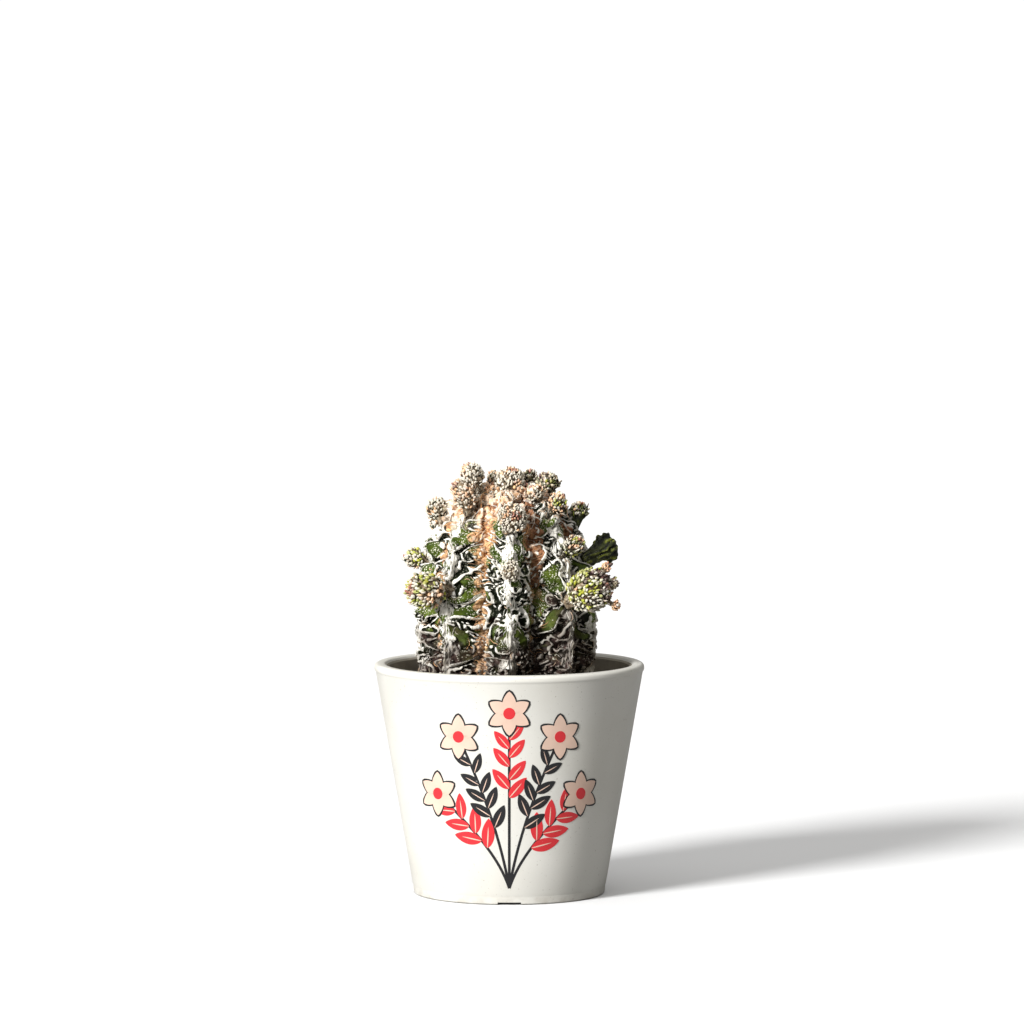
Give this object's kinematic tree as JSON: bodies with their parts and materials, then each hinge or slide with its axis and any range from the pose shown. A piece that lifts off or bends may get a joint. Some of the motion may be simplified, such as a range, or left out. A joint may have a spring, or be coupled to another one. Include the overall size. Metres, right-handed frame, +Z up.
{
  "type": "potted astrophytum",
  "caption": "Round ribbed cactus with curly folds and scaly offset heads on its rib crests, planted in grit in a tapered pot with a banded lip, a foot ring and drain notches.",
  "frame": {"origin": "centre of the pot's foot, on the surface it stands on", "axes": "+Z up along the pot's axis; -Y is the front, the side the large offsets lean to; +X to the right seen from the front"},
  "size_m": [0.11, 0.11, 0.1763],
  "materials": {
    "stoneware": "satin",
    "net_plastic": "matte",
    "grit": "matte",
    "cactus_skin": "matte",
    "offset_flock": "matte"
  },
  "bodies": {
    "root": {"pot": "stoneware", "drain_net": "net_plastic", "soil": "grit", "cactus_body": "cactus_skin", "offset_top_left_rear": "offset_flock", "offset_top_left": "offset_flock", "offset_left_shoulder": "offset_flock", "offset_left_high": "offset_flock", "offset_left_large": "offset_flock", "offset_front_high": "offset_flock", "offset_front_mid": "offset_flock", "offset_crown": "offset_flock", "offset_crown_right": "offset_flock", "offset_crown_left": "offset_flock", "offset_crown_front": "offset_flock", "offset_right_top": "offset_flock", "offset_right_front_top": "offset_flock", "offset_right_shoulder": "cactus_skin", "offset_right_front": "offset_flock", "offset_right_funnel": "cactus_skin", "offset_right_large": "offset_flock", "offset_rear_3_1": "offset_flock", "offset_rear_3_2": "offset_flock", "offset_rear_4_1": "offset_flock", "offset_rear_4_2": "offset_flock", "offset_rear_5_1": "offset_flock", "offset_rear_5_2": "offset_flock"}
  },
  "joints": []
}
